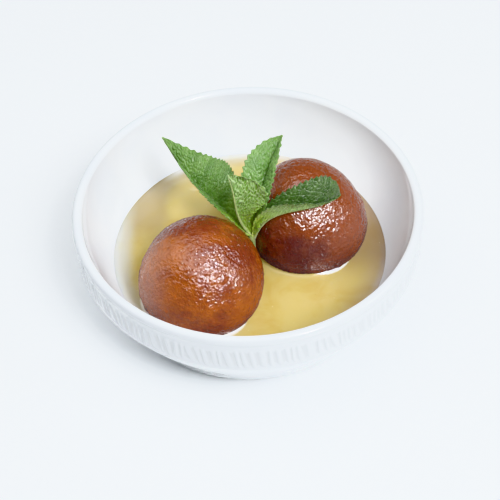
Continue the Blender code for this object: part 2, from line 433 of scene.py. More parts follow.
def hand_over(thing, slot, *nodes):
    """Fixes a finished piece to the frame, riding on the root, and hides the parts that it stands for. Its
    slot is not used.
    """
    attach(thing, "root")
    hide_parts(*nodes)


def heading(azimuth, elevation=0.0):
    """A unit vector from angles in degrees."""
    azimuth, elevation = math.radians(azimuth), math.radians(elevation)
    level = math.cos(elevation)
    return Vector((level * math.cos(azimuth), level * math.sin(azimuth), math.sin(elevation)))


def arc(centre, radius, start, end, steps):
    """Points on an arc in the (radius, height) plane, with angles in degrees."""
    points = []
    for step in range(steps + 1):
        angle = math.radians(start + (end - start) * step / steps)
        points.append(Vector((centre[0] + radius * math.cos(angle), centre[1] + radius * math.sin(angle))))
    return points


def bezier(guides, amount):
    """A point on the cubic curve of four guide points."""
    near = 1 - amount
    weights = (near**3, 3 * near * near * amount, 3 * near * amount * amount, amount**3)
    total = Vector((0.0,) * len(guides[0]))
    for weight, guide in zip(weights, guides):
        total += weight * Vector(guide)
    return total


def curve_points(guides, steps):
    return [bezier(guides, step / steps) for step in range(steps + 1)]


def ring(bm, radius, height, columns):
    verts = []
    for column in range(columns):
        angle = 2 * math.pi * column / columns
        verts.append(bm.verts.new((radius * math.cos(angle), radius * math.sin(angle), height)))
    return verts


def skin(bm, upper, lower):
    """Quads between two closed loops of points."""
    count = len(upper)
    for column in range(count):
        after = (column + 1) % count
        bm.faces.new((upper[column], lower[column], lower[after], upper[after]))


def fan(bm, coarse, fine):
    """Joins a coarse ring to one with several points for each of its columns."""
    share = len(fine) // len(coarse)
    for column, vert in enumerate(coarse):
        after = coarse[(column + 1) % len(coarse)]
        chain = [fine[(column * share + step) % len(fine)] for step in range(share + 1)]
        middle = share // 2
        for step in range(share):
            bm.faces.new((vert if step < middle else after, chain[step], chain[step + 1]))
        bm.faces.new((vert, chain[middle], after))


def cap(bm, loop, height):
    """Closes a loop with a fan of faces; returns its middle point."""
    centre = bm.verts.new((0.0, 0.0, height))
    for column, vert in enumerate(loop):
        bm.faces.new((centre, vert, loop[(column + 1) % len(loop)]))
    return centre


# ---- the bowl


def inner_wall(steps):
    """The bowl's inside, from under the rim to the edge of its flat floor."""
    start = (RIM_CENTRE[0] - RIM_RADIUS, RIM_CENTRE[1])
    wall = (start, (start[0] - 0.55 * MM, 33.0 * MM), (WALL_TURN[0] + 4.5 * MM, 22.5 * MM), WALL_TURN)
    turn = (WALL_TURN, (46.6 * MM, 11.3 * MM), (42.5 * MM, FLOOR_HEIGHT), (FLOOR_RADIUS, FLOOR_HEIGHT))
    return curve_points(wall, steps)[:-1] + curve_points(turn, steps)


def outer_wall(steps):
    """The bowl's outside below the fluted band, down to the edge of its foot."""
    shoulder = (BOWL_RADIUS - 0.66 * MM, BAND_BOTTOM - 0.8 * MM)
    soft_edge = [Vector((BAND_RADIUS, BAND_BOTTOM - 0.4 * MM))]
    taper = (shoulder, (61.0 * MM, 21.4 * MM), (54.9 * MM, 11.8 * MM), (50.2 * MM, 3.4 * MM))
    edge = ((50.2 * MM, 3.4 * MM), (49.4 * MM, 1.9 * MM), (48.9 * MM, 0.0), (FOOT_RADIUS, 0.0))
    return soft_edge + curve_points(taper, steps) + curve_points(edge, 6)[1:]


def bowl_mesh(flute_count):
    """The turned bowl, with a plain band that is fine enough to take its flutes."""
    bm = bmesh.new()
    coarse = 2 * flute_count
    fine = 10 * flute_count
    rim_outside = arc(RIM_CENTRE, RIM_RADIUS, 90, -40, 14)
    under_rim = Vector((BOWL_RADIUS - 0.60 * MM, BAND_TOP + 0.25 * MM))
    rows = 26
    band = [(BAND_RADIUS, BAND_TOP + (BAND_BOTTOM - BAND_TOP) * row / rows) for row in range(rows + 1)]
    upper = [ring(bm, point.x, point.y, coarse) for point in rim_outside + [under_rim]]
    middle = [ring(bm, radius, height, fine) for radius, height in band]
    lower = [ring(bm, point.x, point.y, coarse) for point in outer_wall(30)]
    foot = [(FOOT_INNER_RADIUS, 0.0), (FOOT_INNER_RADIUS - 0.5 * MM, 0.15 * MM)]
    foot.append((FOOT_INNER_RADIUS - 1.1 * MM, FOOT_RECESS - 0.1 * MM))
    foot += [(FOOT_INNER_RADIUS - 2.0 * MM, FOOT_RECESS), (20.0 * MM, FOOT_RECESS)]
    lower += [ring(bm, radius, height, coarse) for radius, height in foot]
    rim_inside = arc(RIM_CENTRE, RIM_RADIUS, 90, 180, 10)[1:-1]
    inside = [upper[0]] + [ring(bm, point.x, point.y, coarse) for point in rim_inside + inner_wall(24)]
    inside.append(ring(bm, 16.0 * MM, FLOOR_HEIGHT, coarse))
    for rings in (upper, middle, lower, inside):
        for above, below in zip(rings, rings[1:]):
            skin(bm, above, below)
    fan(bm, upper[-1], middle[0])
    fan(bm, lower[0], middle[-1])
    cap(bm, lower[-1], FOOT_RECESS)
    cap(bm, inside[-1], FLOOR_HEIGHT)
    bmesh.ops.recalc_face_normals(bm, faces=bm.faces)
    return bm


def flute_tree():
    """Raises uneven, leaning flutes with rounded ends on the outside of a turned band."""
    tree, given, result = shape_tree(
        "band flutes", "Flutes", "Depth", "Lean", "Top", "Bottom", "Band Radius", "Seed"
    )
    place = tree.nodes.new("GeometryNodeInputPosition").outputs[0]
    x, y, z = split(place)
    flat = join_axes(x, y)
    along = calc("DIVIDE", minus(z, given["Bottom"]), minus(given["Top"], given["Bottom"]))
    turn = calc("DIVIDE", calc("ARCTAN2", y, x), 2 * math.pi)
    uneven = minus(noise(flat, 6.0 * MM, 1.0), 0.5)
    drift = minus(noise(flat, 9.0 * MM, 0.0), 0.2)
    lean = times(times(given["Lean"], drift), minus(along, 0.5))
    counted = times(turn, given["Flutes"])
    counted = plus(plus(counted, times(uneven, 2.2)), lean)
    across = calc("FRACT", counted)
    own = calc("FLOORED_MODULO", calc("FLOOR", counted), given["Flutes"])
    draw = {"W": plus(own, given["Seed"])}
    chance = add_node(tree, "ShaderNodeTexWhiteNoise", draw, noise_dimensions="1D")
    first, second, third = split(chance.outputs["Color"])
    hump = times(across, minus(1.0, across), 4.0)
    ridge = smooth_step(hump, 0.50, 1.0)
    off_middle = minus(1.0, hump)
    top_end = minus(1.0, plus(times(off_middle, 0.10), times(first, 0.05)))
    low_end = plus(times(off_middle, 0.16), times(second, 0.10))
    below_top = smooth_step(minus(top_end, along), 0.0, 0.10)
    above_end = smooth_step(minus(along, low_end), 0.0, 0.06)
    outside = calc("GREATER_THAN", vector_calc("LENGTH", flat), minus(given["Band Radius"], 0.05 * MM))
    height = times(ridge, plus(0.6, times(third, 0.4)))
    height = times(height, given["Depth"], outside, below_top, above_end)
    outwards = vector_calc("SCALE", vector_calc("NORMALIZE", flat), scale=height)
    # The grooves are stored for the glaze, which paints shade into them.
    groove = times(minus(1.0, ridge), outside, below_top, above_end)
    inputs = {"Geometry": given["Geometry"], "Name": "groove", "Value": groove}
    stored = add_node(tree, "GeometryNodeStoreNamedAttribute", inputs, data_type="FLOAT")
    end_shape(tree, stored.outputs[0], outwards, given, result)
    return tree


def porcelain_finish(settings):
    """White glaze with a faint ripple, thinner on its edges, painted shade on its outside and in the grooves
    between its flutes, and bare clay under the foot.
    """
    material, tree, shader = new_finish(
        "white_glaze", settings.glaze, 0.12, Coat_Weight=0.35, Coat_Roughness=0.04
    )
    place = object_place(tree)
    ripple = noise(place, 11.0 * MM, 2.0)
    grain = noise(place, 0.9 * MM, 2.0, 0.6)
    cloud = noise(place, 26.0 * MM, 3.0, 0.55)
    white = settings.glaze
    cool = scaled(white, (0.955, 0.965, 0.985))
    glaze = mix_colours(smooth_step(cloud, 0.35, 0.7), white, cool)
    x, y, z = split(place)
    from_axis = vector_calc("LENGTH", join_axes(x, y))
    # Painted shade: the outside is slightly greyer, most on the left, and the grooves between the flutes are
    # greyer again.
    shaded_outer_left = scaled(white, (0.66, 0.665, 0.68))
    shaded_outer_right = scaled(white, (0.80, 0.80, 0.805))
    outer = mix_colours(smooth_step(x, -50.0 * MM, 42.0 * MM), shaded_outer_left, shaded_outer_right)
    outside = smooth_step(from_axis, RIM_CENTRE[0] - 0.4 * MM, BOWL_RADIUS - 0.4 * MM)
    glaze = mix_colours(outside, glaze, outer)
    # Painted shade in the grooves between the flutes.
    groove = point_value(tree, "groove")
    deep = scaled(white, (0.62, 0.62, 0.625))
    glaze = mix_colours(times(groove, 0.9), glaze, deep)
    bare = smooth_step(plus(z, times(grain, 0.25 * MM)), 0.1 * MM, 0.25 * MM, 1.0, 0.0)
    clay = mix_colours(grain, (0.62, 0.58, 0.52), (0.74, 0.71, 0.66))
    tree.links.new(mix_colours(bare, glaze, clay), shader.inputs["Base Color"])
    rough = plus(times(grain, 0.05), times(bare, 0.6))
    tree.links.new(plus(rough, 0.09), shader.inputs["Roughness"])
    height = plus(times(ripple, 0.6), times(grain, 0.012))
    add_bump(tree, shader, height, 0.35 * MM, 0.6)
    return material


class DESSERT_OT_bowl(bpy.types.Operator):
    """Makes the porcelain bowl with its fluted band"""

    bl_idname = "dessert.bowl"
    bl_label = "Bowl"

    def execute(self, context):
        settings = context.scene.bowl_settings
        finish = porcelain_finish(settings)
        bowl = make_piece("porcelain_bowl", bowl_mesh(settings.flute_count), finish)
        run_tree(
            bowl, flute_tree(), Finish=finish, Flutes=float(settings.flute_count), Depth=settings.flute_depth,
            Lean=settings.flute_lean, Top=BAND_TOP, Bottom=BAND_BOTTOM, Seed=4.0,
            **{"Band Radius": BAND_RADIUS},
        )
        hand_over(bowl, "porcelain", "bowl")
        return {"FINISHED"}


# ---- the balls


def ball_mesh(ball):
    """A soft round ball, pressed a little flatter below, with a few broad lumps."""
    bm = bmesh.new()
    bmesh.ops.create_icosphere(bm, subdivisions=7, radius=1.0)
    lumps = []
    for azimuth, elevation, spread, height in ball["lumps"]:
        lumps.append((heading(azimuth, elevation), math.radians(spread), height * MM))
    under = ball["centre"].z - FLOOR_HEIGHT - 0.3 * MM
    for vert in bm.verts:
        direction = vert.co.normalized()
        radius = BALL_RADIUS
        for towards, spread, height in lumps:
            radius += height * math.exp(-((direction.angle(towards) / spread) ** 2))
        squash = under / radius if direction.z < 0 else 1.0
        vert.co = ball["centre"] + Vector((direction.x, direction.y, direction.z * squash)) * radius
    return bm


def skin_pattern(place, size, seed):
    """The wrinkles and pits of fried skin, as a height between about -1 and 1."""
    moved = vector_calc("SCALE", place, scale=calc("DIVIDE", MM, size))
    moved = shifted(moved, seed)
    folds = noise(moved, MM, 2.0, 0.5, 0.7)
    small = noise(moved, 0.45 * MM, 1.0, 0.5, 0.3)
    pits = cells(moved, MM, {"Smoothness": 0.5}, feature="SMOOTH_F1")["Distance"]
    height = times(minus(folds, 0.5), 2.6)
    height = plus(height, times(minus(small, 0.5), 1.1))
    return plus(height, times(minus(pits, 0.4), 0.9))


def ball_skin_tree():
    """Wrinkles a ball's skin: broad soft waves, then small folds and pits that come and go."""
    tree, given, result = shape_tree("fried skin", "Wrinkle Size", "Wrinkle Height", "Wave Height", "Seed")
    place = tree.nodes.new("GeometryNodeInputPosition").outputs[0]
    seed = given["Seed"]
    moved = shifted(place, seed)
    waves = minus(noise(moved, 11.0 * MM, 1.0), 0.5)
    patches = smooth_step(noise(moved, 9.0 * MM, 1.0), 0.3, 0.7, 0.55, 1.25)
    wrinkles = skin_pattern(place, given["Wrinkle Size"], seed)
    height = times(times(wrinkles, patches), given["Wrinkle Height"])
    height = plus(height, times(waves, given["Wave Height"]))
    normal = tree.nodes.new("GeometryNodeInputNormal").outputs[0]
    outwards = vector_calc("SCALE", normal, scale=height)
    end_shape(tree, given["Geometry"], outwards, given, result)
    return tree


def crust_group():
    """Mottled fried crust with painted shade towards two given sides: a colour and a fine height, from a
    bright and a dark colour.
    """
    inputs = [("Place", "Vector"), ("Bright", "Color"), ("Shade", "Color"), ("Seed", "Float")]
    inputs += sockets_of("Vector", "Middle", "Shade Side", "Shade Top")
    outputs = [("Colour", "Color"), ("Height", "Float"), ("Roughness", "Float")]
    tree, given, result = new_group("ShaderNodeTree", "fried crust", inputs, outputs)
    place = shifted(given["Place"], given["Seed"])
    broad = noise(place, 15.0 * MM, 2.0, 0.5)
    mottle = noise(place, 4.5 * MM, 3.0, 0.6, 0.2)
    speck = noise(place, 1.3 * MM, 2.0, 0.6)
    pebbles = noise(place, 0.95 * MM, 1.0, 0.5, 0.8)
    pits = cells(place, 0.95 * MM, {"Smoothness": 0.6}, feature="SMOOTH_F1")["Distance"]
    # Painted shade: the crust darkens towards the given shaded side and top, where less light falls on it.
    outwards = vector_calc("NORMALIZE", vector_calc("SUBTRACT", given["Place"], given["Middle"]))
    sidewards = vector_calc("DOT_PRODUCT", outwards, given["Shade Side"])
    painted_shade = calc("MAXIMUM", sidewards, vector_calc("DOT_PRODUCT", outwards, given["Shade Top"]))
    share = plus(times(broad, 0.76), times(mottle, 0.26))
    share = plus(share, times(speck, 0.18))
    share = minus(share, times(painted_shade, 0.16))
    share = smooth_step(share, 0.37, 0.71)
    colour = mix_colours(share, given["Shade"], given["Bright"])
    dark_specks = smooth_step(speck, 0.62, 0.74)
    darker = tinged(colour, (0.45, 0.36, 0.34))
    colour = mix_colours(times(dark_specks, 0.55), colour, darker)
    tree.links.new(colour, result["Colour"])
    tree.links.new(plus(pebbles, times(pits, 0.6)), result["Height"])
    tree.links.new(smooth_step(mottle, 0.3, 0.7, 0.05, 0.12), result["Roughness"])
    return tree


def crust_finish(name, group, bright, shade, ball):
    """A fried ball's wet crust, with a painted sheen on its left."""
    material, tree, shader = new_finish(
        name, bright, 0.2, IOR=ball["gloss"], Subsurface_Weight=0.12,
        Subsurface_Radius=(1.0, 0.35, 0.12), Subsurface_Scale=2.0 * MM,
    )
    place = object_place(tree)
    inputs = {"Place": place, "Bright": (*bright, 1.0), "Shade": (*shade, 1.0), "Seed": ball["seed"]}
    inputs.update({"Middle": ball["centre"], "Shade Side": ball["shade_side"], "Shade Top": ball["shade_top"]})
    crust = add_node(tree, "ShaderNodeGroup", inputs, node_tree=group)
    # Painted sheen: a pale film on the ball's left stands in for the reflection of the bright bowl wall.
    offset = vector_calc("SUBTRACT", place, ball["centre"])
    leftwards = vector_calc("DOT_PRODUCT", vector_calc("NORMALIZE", offset), (-0.86, -0.20, 0.30))
    sheen_share = times(smooth_step(leftwards, 0.62, 1.0), ball["painted_sheen"])
    colour = mix_colours(sheen_share, crust.outputs["Colour"], (0.62, 0.31, 0.20))
    tree.links.new(colour, shader.inputs["Base Color"])
    tree.links.new(crust.outputs["Roughness"], shader.inputs["Roughness"])
    add_bump(tree, shader, crust.outputs["Height"], ball["grain"] * MM, 1.0)
    return material


class DESSERT_OT_balls(bpy.types.Operator):
    """Makes both gulab jamun with their wrinkled, wet crust"""

    bl_idname = "dessert.balls"
    bl_label = "Gulab jamun"

    def execute(self, context):
        settings = context.scene.ball_settings
        group = crust_group()
        tree = ball_skin_tree()
        colours = {
            "gulab_jamun_light": (settings.light_crust, settings.light_shade),
            "gulab_jamun_dark": (settings.dark_crust, settings.dark_shade),
        }
        for name, ball in BALLS.items():
            bright, shade = colours[name]
            finish = crust_finish(name + "_crust", group, bright, shade, ball)
            piece = make_piece(name, ball_mesh(ball), finish)
            run_tree(piece, tree, Finish=finish, Seed=ball["seed"], **{
                "Wrinkle Size": settings.wrinkle_size, "Wrinkle Height": settings.wrinkle_height,
                "Wave Height": 0.7 * MM})
            hand_over(piece, ball["slot"], ball["node"])
        return {"FINISHED"}


# ---- the syrup


def wall_at(axis, value):
    """The point of the bowl's inner wall with a given radius (axis 0) or height (axis 1)."""
    points = inner_wall(40)
    for above, below in zip(points, points[1:]):
        if below[axis] <= value <= above[axis] and above[axis] > below[axis]:
            return below.lerp(above, (value - below[axis]) / (above[axis] - below[axis]))
    return points[-1]


def syrup_mesh(level, rise):
    """A pool with a surface that climbs the wall and the balls, over a body that fills the bowl."""
    bm = bmesh.new()
    depth_layer = bm.verts.layers.float.new("depth")
    highlight_layer = bm.verts.layers.float.new("painted_highlight")
    columns = 540
    edge_radius = wall_at(1, level + rise).x + 0.15 * MM
    pools = []
    for ball in BALLS.values():
        drop = ball["centre"].z - level
        pools.append((ball["centre"], math.sqrt(BALL_RADIUS**2 - drop**2), ball["highlight_crescents"]))
    radii = [edge_radius * share for share in (0.02, 0.05, 0.08)]
    radii += [edge_radius * (0.11 + 0.85 * step / 110) for step in range(111)]
    radii += [edge_radius * (0.96 + 0.04 * step / 12) for step in range(1, 13)]
    rings = []
    for radius in radii[::-1]:
        loop = ring(bm, radius, level, columns)
        depth = max(level - wall_at(0, radius).y, 0.0) / (level - FLOOR_HEIGHT)
        for vert in loop:
            vert[depth_layer] = depth
            climb = 0.6 * math.exp(-(edge_radius - radius) / (1.1 * MM))
            for centre, pool_radius, highlight_crescents in pools:
                away = vert.co.xy - centre.xy
                apart = away.length - pool_radius
                climb += math.exp(-max(apart, -0.4 * MM) / (1.15 * MM))
                # Painted highlight: a pale line along each crescent where the syrup climbs a ball.
                for azimuth, spread, width, strength in highlight_crescents:
                    off_middle = math.degrees(away.angle(heading(azimuth).xy)) / spread
                    edge = width * MM * max(1e-3, 1 - off_middle**2)
                    vert[highlight_layer] += strength * max(0.0, 1 - (max(apart, 0.0) / edge) ** 8)
            vert.co.z = level + rise * min(climb, 1.25)
        rings.append(loop)
    for outer, inner in zip(rings, rings[1:]):
        skin(bm, inner, outer)
    cap(bm, rings[-1], level)[depth_layer] = 1.0
    outline = [point for point in inner_wall(12) if point.y < level + rise - 0.6 * MM]
    below = [ring(bm, point.x + 0.1 * MM, point.y - 0.1 * MM, columns) for point in outline]
    for upper, lower in zip([rings[0]] + below, below):
        skin(bm, upper, lower)
    cap(bm, below[-1][::-1], FLOOR_HEIGHT - 0.1 * MM)
    bmesh.ops.recalc_face_normals(bm, faces=bm.faces)
    return bm


def syrup_finish(settings):
    """Cloudy golden syrup: paler where it is shallow, with drifting clouds, fine specks, painted shade and
    light, and a painted highlight where it climbs the balls.
    """
    material, tree, shader = new_finish(
        "sugar_syrup", settings.deep, 0.07, IOR=1.43, Coat_Weight=0.3, Coat_Roughness=0.03,
        Subsurface_Weight=0.35, Subsurface_Radius=(1.0, 0.75, 0.3), Subsurface_Scale=3.0 * MM,
    )
    place = object_place(tree)
    # The colour follows the depth, from the rim of the pool to its deep middle, and drifts in clouds.
    depth = point_value(tree, "depth")
    cloud = noise(place, 15.0 * MM, 3.0, 0.55, 0.6)
    wisp = noise(place, 4.0 * MM, 3.0, 0.6, 1.2)
    wavering = times(depth, plus(0.8, times(wisp, 0.4)))
    x, y, _ = split(place)
    # Painted shade: towards the bowl's right wall the edge and shallow colours are browner.
    right_wall_shade = smooth_step(x, -10.0 * MM, 40.0 * MM)
    edge_colour = mix_colours(right_wall_shade, (0.60, 0.59, 0.55), (0.56, 0.48, 0.40))
    shallow = mix_colours(right_wall_shade, settings.shallow, (0.54, 0.43, 0.24))
    pale = mix_colours(smooth_step(wavering, 0.0, 0.30), edge_colour, shallow)
    golden = mix_colours(smooth_step(wavering, 0.25, 0.82), pale, settings.deep)
    rich = tinged(golden, (0.93, 0.86, 0.66))
    golden = mix_colours(smooth_step(cloud, 0.42, 0.72), golden, rich)
    # Painted shade and light: browner at the back right, a painted shadow at the rear left, paler at the left
    # edge and under the longest leaf, where its shadow is lightened.
    to_right = smooth_step(x, 26.0 * MM, 40.0 * MM)
    painted_shade_right = times(to_right, smooth_step(y, -20.0 * MM, -2.0 * MM, 0.12, 0.72))
    golden = mix_colours(painted_shade_right, golden, (0.27, 0.185, 0.11))
    to_left = smooth_step(x, -35.0 * MM, -26.0 * MM, 1.0, 0.0)
    painted_shadow_left = times(to_left, smooth_step(y, 0.0, 18.0 * MM))
    golden = mix_colours(times(painted_shadow_left, 0.85), golden, (0.37, 0.29, 0.155))
    painted_light_left = smooth_step(x, -50.0 * MM, -42.0 * MM, 0.6, 0.0)
    golden = mix_colours(painted_light_left, golden, (0.63, 0.63, 0.59))
    # Painted light: a paler patch that lightens the shadow of the longest leaf.
    from_painted_light = vector_calc("DISTANCE", join_axes(x, y), (-21.0 * MM, 25.0 * MM, 0.0))
    bright = smooth_step(from_painted_light, 4.0 * MM, 13.0 * MM, 0.8, 0.0)
    golden = mix_colours(bright, golden, (0.78, 0.64, 0.29))
    # Dark and pale specks, then the painted highlight: a white line where the syrup climbs the balls.
    dots = cells(place, 2.6 * MM)
    chance = split(dots["Color"])
    near = smooth_step(dots["Distance"], 0.03, 0.065, 1.0, 0.0)
    dark = times(near, calc("GREATER_THAN", chance[0], 0.86))
    pale = times(near, calc("LESS_THAN", chance[1], 0.22))
    golden = mix_colours(times(dark, 0.6), golden, (0.30, 0.17, 0.05))
    golden = mix_colours(times(pale, 0.6), golden, (0.93, 0.88, 0.66))
    painted_highlight = point_value(tree, "painted_highlight")
    golden = mix_colours(calc("MINIMUM", painted_highlight, 1.0), golden, (0.93, 0.93, 0.92))
    # What surfaces beside the syrup receive from it is duller than what the camera sees.
    light_path = tree.nodes.new("ShaderNodeLightPath")
    golden = mix_colours(light_path.outputs["Is Diffuse Ray"], golden, (0.56, 0.51, 0.43))
    golden = mix_colours(light_path.outputs["Is Glossy Ray"], golden, (0.24, 0.18, 0.165))
    tree.links.new(golden, shader.inputs["Base Color"])
    swell = noise(place, 16.0 * MM, 1.0)
    add_bump(tree, shader, swell, 0.10 * MM, 0.3)
    return material


class DESSERT_OT_syrup(bpy.types.Operator):
    """Makes the pool of sugar syrup"""

    bl_idname = "dessert.syrup"
    bl_label = "Sugar syrup"

    def execute(self, context):
        settings = context.scene.syrup_settings
        pool = make_piece("syrup_pool", syrup_mesh(settings.level, settings.rise), syrup_finish(settings))
        hand_over(pool, "syrup", "syrup")
        return {"FINISHED"}


# ---- the mint


def half_width(amount, widest, peak, slender):
    """How wide a half leaf is at an amount of its length, in millimetres."""
    rise = math.log(0.5) / math.log(peak)
    belly = math.sin(math.pi * amount**rise) ** slender if 0 < amount < 1 else 0.0
    return STALK_WIDTH * (1 - 0.75 * amount) + (widest - STALK_WIDTH) * belly


def tooth(distance, pitch):
    """The outline of a leaf's teeth: each rises slowly towards the tip and falls back fast."""
    share = (distance / pitch) % 1.0
    return share / 0.72 if share < 0.72 else (1 - share) / 0.28


def leaf_length(guides):
    points = curve_points(guides, 40)
    return sum((after - before).length for before, after in zip(points, points[1:]))


def leaf_place(leaf, amount):
    """At an amount of a leaf's length: a point of its midrib, the way across it and the way up from it."""
    guides = leaf["midrib"]
    ahead = bezier(guides, min(amount + 0.01, 1.0))
    along = (ahead - bezier(guides, max(amount - 0.01, 0.0))).normalized()
    side = Vector(leaf["side"])
    across = (side - side.dot(along) * along).normalized()
    return bezier(guides, amount), across, across.cross(along)


def leaf_mesh(leaf, tooth_pitch):
    """A folded leaf as one sheet, its upper side first, with a place on the leaf stored at each point."""
    bm = bmesh.new()
    place_layer = bm.verts.layers.float_vector.new("place")
    length = leaf_length(leaf["midrib"])
    steps = int(length / 0.30)
    halves = 26
    rows = []
    for step in range(steps + 1):
        amount = step / steps
        rib, across, upward = leaf_place(leaf, amount)
        row = []
        for index in range(-halves, halves + 1):
            turn = -1 if index < 0 else 1
            widest, peak, fold_at_stem, fold_at_tip, slender = leaf["left" if index < 0 else "right"]
            share = abs(index) / halves
            width = half_width(amount, widest, peak, slender)
            teeth = tooth(amount * length + (0.9 if turn < 0 else 0.0), tooth_pitch / MM)
            bite = min(0.95, 0.15 * width) * min(1.0, 12 * amount) * (teeth - 0.5)
            reach = width * share + bite * share**5
            fold = math.radians(fold_at_stem + (fold_at_tip - fold_at_stem) * amount)
            fold *= min(1.0, 0.35 + 4.0 * share) if index else 0.0
            belly = 0.07 * width * math.sin(math.pi * share)
            flat = turn * math.cos(fold) * across + math.sin(fold) * upward
            raised = -turn * math.sin(fold) * across + math.cos(fold) * upward
            vert = bm.verts.new((rib + reach * flat + belly * raised) * MM)
            vert[place_layer] = Vector((turn * reach, amount * length, width)) * MM
            row.append(vert)
        rows.append(row)
    for lower, upper in zip(rows, rows[1:]):
        for index in range(len(lower) - 1):
            bm.faces.new((lower[index], lower[index + 1], upper[index + 1], upper[index]))
    return bm


def vein_pattern(place, pitch):
    """From a place on a leaf, each 0 to 1: its side veins, and the fine net between them."""
    across, along, _ = split(place)
    out = calc("ABSOLUTE", across)
    bent = plus(along, times(out, out, 14.0))
    counted = calc("DIVIDE", minus(bent, times(out, 1.05)), pitch)
    wander = minus(noise(place, 5.0 * MM, 1.0), 0.5)
    counted = plus(counted, times(wander, 0.35))
    to_vein = calc("ABSOLUTE", minus(calc("FRACT", counted), 0.5))
    side = smooth_step(to_vein, 0.34, 0.5)
    midrib = smooth_step(out, 0.10 * MM, 0.50 * MM, 1.0, 0.0)
    flat = join_axes(across, times(counted, pitch, 0.8))
    stirring = {"Vector": flat, "Scale": 1.0 / (2.0 * MM), "Detail": 1.0}
    stirred = add_node(tree_of(flat), "ShaderNodeTexNoise", stirring)
    shift = vector_calc("SUBTRACT", stirred.outputs["Color"], (0.5, 0.5, 0.5))
    flat = vector_calc("ADD", flat, vector_calc("SCALE", shift, scale=0.9 * MM))
    to_edge = cells(flat, 1.15 * MM, feature="DISTANCE_TO_EDGE", voronoi_dimensions="2D")["Distance"]
    net = smooth_step(to_edge, 0.0, 0.24, 1.0, 0.0)
    return calc("MAXIMUM", side, midrib), net


def leaf_relief_tree():
    """Puffs a leaf up between its veins and crinkles its edge."""
    tree, given, result = shape_tree("leaf relief", "Puff", "Crinkle", "Vein Pitch")
    named = add_node(tree, "GeometryNodeInputNamedAttribute", {"Name": "place"}, data_type="FLOAT_VECTOR")
    place = named.outputs[0]
    side, net = vein_pattern(place, given["Vein Pitch"])
    across, _, width = split(place)
    out = calc("DIVIDE", calc("ABSOLUTE", across), calc("MAXIMUM", width, 0.5 * MM))
    inner = smooth_step(out, 0.85, 1.0, 1.0, 0.35)
    puff = times(minus(1.0, side), given["Puff"])
    crinkle = times(minus(1.0, net), given["Crinkle"])
    height = times(plus(puff, crinkle), inner)
    wave = minus(noise(place, 4.5 * MM, 1.0), 0.5)
    height = plus(height, times(wave, out, 1.5 * MM))
    normal = tree.nodes.new("GeometryNodeInputNormal").outputs[0]
    offset = vector_calc("SCALE", normal, scale=height)
    end_shape(tree, given["Geometry"], offset, given, result)
    return tree


def leaf_group(pitch):
    """Leaf colour: a blade colour and a vein colour laid out by the veins, with light and dark puffs."""
    inputs = [("Blade", "Color"), ("Vein", "Color"), ("Vein Strength", "Float"), ("Net Strength", "Float")]
    outputs = [("Colour", "Color"), ("Height", "Float")]
    tree, given, result = new_group("ShaderNodeTree", "leaf colour", inputs, outputs)
    named = add_node(tree, "ShaderNodeAttribute", attribute_name="place")
    place = named.outputs["Vector"]
    side, net = vein_pattern(place, pitch)
    _, along, _ = split(place)
    net = times(net, smooth_step(along, 8.0 * MM, 20.0 * MM, 0.4, 1.0))
    tone = noise(place, 7.0 * MM, 2.0)
    fine = noise(place, 0.5 * MM, 2.0)
    darker = tinged(given["Blade"], (0.55, 0.66, 0.50))
    blade = mix_colours(smooth_step(tone, 0.3, 0.7), given["Blade"], darker)
    blade = mix_colours(times(fine, 0.35), blade, darker)
    # Lighter and yellower towards the stem: partly the leaf's own tint, partly painted light on the lower
    # blades, which lie in shade.
    base_tint_and_light = tinged(blade, (1.75, 1.45, 0.80))
    blade = mix_colours(smooth_step(along, 5.0 * MM, 17.0 * MM, 1.0, 0.0), blade, base_tint_and_light)
    share = calc("MAXIMUM", times(side, given["Vein Strength"]), times(net, given["Net Strength"]))
    tree.links.new(mix_colours(share, blade, given["Vein"]), result["Colour"])
    height = minus(times(fine, 0.4), times(net, 1.0))
    tree.links.new(height, result["Height"])
    return tree


def leaf_finish(name, group, blade, vein, vein_strength, net_strength, bump):
    material, tree, shader = new_finish(
        "mint_leaf_" + name, blade, 0.42, Subsurface_Weight=0.25, Subsurface_Radius=(0.5, 1.0, 0.25),
        Subsurface_Scale=1.0 * MM, Sheen_Weight=0.25, Sheen_Roughness=0.4,
    )
    inputs = {"Blade": (*blade, 1.0), "Vein": (*vein, 1.0)}
    inputs.update({"Vein Strength": vein_strength, "Net Strength": net_strength})
    leaf = add_node(tree, "ShaderNodeGroup", inputs, node_tree=group)
    tree.links.new(leaf.outputs["Colour"], shader.inputs["Base Color"])
    add_bump(tree, shader, leaf.outputs["Height"], bump, 0.7)
    return material


def tube(bm, points, radii, sides=12):
    """A closed tube through points, round in section."""
    loops = []
    for index, point in enumerate(points):
        before = points[max(index - 1, 0)]
        after = points[min(index + 1, len(points) - 1)]
        turn = (after - before).to_track_quat("Z", "Y")
        loop = []
        for column in range(sides):
            angle = 2 * math.pi * column / sides
            spoke = turn @ Vector((math.cos(angle), math.sin(angle), 0.0)) * radii[index]
            loop.append(bm.verts.new(point + spoke))
        loops.append(loop)
    for lower, upper in zip(loops, loops[1:]):
        skin(bm, upper, lower)
    bm.faces.new(loops[0])
    bm.faces.new(loops[-1])


